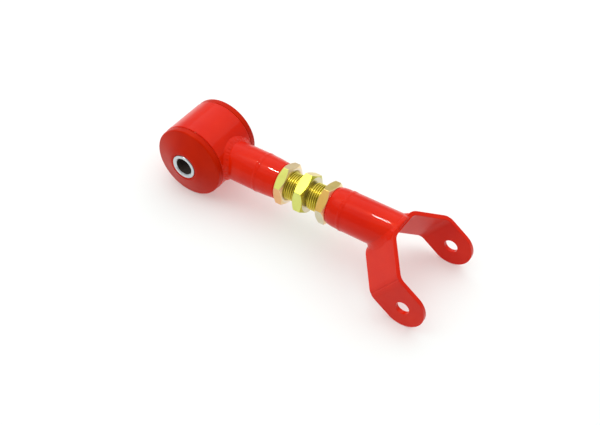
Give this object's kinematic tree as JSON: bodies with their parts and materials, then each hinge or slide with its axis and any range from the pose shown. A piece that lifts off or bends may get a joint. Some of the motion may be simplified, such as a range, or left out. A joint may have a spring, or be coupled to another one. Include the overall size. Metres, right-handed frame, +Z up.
{
  "type": "adjustable suspension control arm",
  "caption": "Adjustable suspension control arm: a bushed eye, a turnbuckle adjuster locked by jam nuts, and a fork bent from strap with a bolt hole in each tab.",
  "frame": {"origin": "centre of the inner sleeve's bore, halfway along it", "axes": "+X towards the fork, +Y along the bushing axis, +Z up; the arm rests on the bushing shell and the two fork tabs"},
  "size_m": [0.2524, 0.0786, 0.06],
  "materials": {
    "red_powder_coat": "glossy red powder coat",
    "red_polyurethane": "smooth red polyurethane, slightly matte",
    "bright_zinc": "bright zinc plate",
    "yellow_zinc": "iridescent yellow zinc plate"
  },
  "bodies": {
    "bushing_end": {"bushing_shell": "red_powder_coat", "bushing_half_near": "red_polyurethane", "bushing_half_far": "red_polyurethane", "bushing_arm_tube": "red_powder_coat", "shell_weld_bead": "red_powder_coat", "left_thread_insert": "red_powder_coat", "left_insert_weld": "red_powder_coat"},
    "sleeve": {"inner_sleeve": "bright_zinc"},
    "adjuster_carrier": {"adjuster_core": "yellow_zinc"},
    "adjuster": {"adjuster": "yellow_zinc"},
    "left_nut_carrier": {"left_nut_collar": "yellow_zinc"},
    "left_nut": {"left_jam_nut": "yellow_zinc"},
    "fork_end": {"fork_arm_tube": "red_powder_coat", "right_thread_insert": "red_powder_coat", "right_insert_weld": "red_powder_coat", "fork_strap": "red_powder_coat", "fork_weld": "red_powder_coat"},
    "right_nut_carrier": {"right_nut_collar": "yellow_zinc"},
    "right_nut": {"right_jam_nut": "yellow_zinc"}
  },
  "joints": [
    {"name": "sleeve_turn", "type": "hinge", "parent": "bushing_end", "child": "sleeve", "pos_m": [0, 0, 0], "axis": [0, 1, 0], "continuous": true},
    {"name": "adjuster_travel", "type": "slide", "parent": "bushing_end", "child": "adjuster_carrier", "axis": [0.9977, 0, 0.0683], "range_m": [-0.00499, 0.00499]},
    {"name": "adjuster_turn", "type": "hinge", "parent": "adjuster_carrier", "child": "adjuster", "pos_m": [0.09568, 0, 0.00655], "axis": [-0.9977, 0, -0.0683], "range_deg": [-990, 990]},
    {"name": "fork_travel", "type": "slide", "parent": "adjuster_carrier", "child": "fork_end", "axis": [0.9977, 0, 0.0683], "range_m": [-0.00499, 0.00499]},
    {"name": "left_nut_travel", "type": "slide", "parent": "bushing_end", "child": "left_nut_carrier", "axis": [0.9977, 0, 0.0683], "range_m": [0, 0.00272]},
    {"name": "left_nut_turn", "type": "hinge", "parent": "left_nut_carrier", "child": "left_nut", "pos_m": [0.07782, 0, 0.00532], "axis": [-0.9977, 0, -0.0683], "range_deg": [0, 540]},
    {"name": "right_nut_travel", "type": "slide", "parent": "fork_end", "child": "right_nut_carrier", "axis": [-0.9977, 0, -0.0683], "range_m": [0, 0.00272]},
    {"name": "right_nut_turn", "type": "hinge", "parent": "right_nut_carrier", "child": "right_nut", "pos_m": [0.11573, 0, 0.00792], "axis": [-0.9977, 0, -0.0683], "range_deg": [0, 540]}
  ],
  "couplings": [
    {"joint": "adjuster_travel", "follows": "adjuster_turn", "m_per_rad": 0.00028875},
    {"joint": "fork_travel", "follows": "adjuster_turn", "m_per_rad": 0.00028875},
    {"joint": "left_nut_travel", "follows": "left_nut_turn", "m_per_rad": 0.00028875},
    {"joint": "right_nut_travel", "follows": "right_nut_turn", "m_per_rad": 0.00028875}
  ]
}
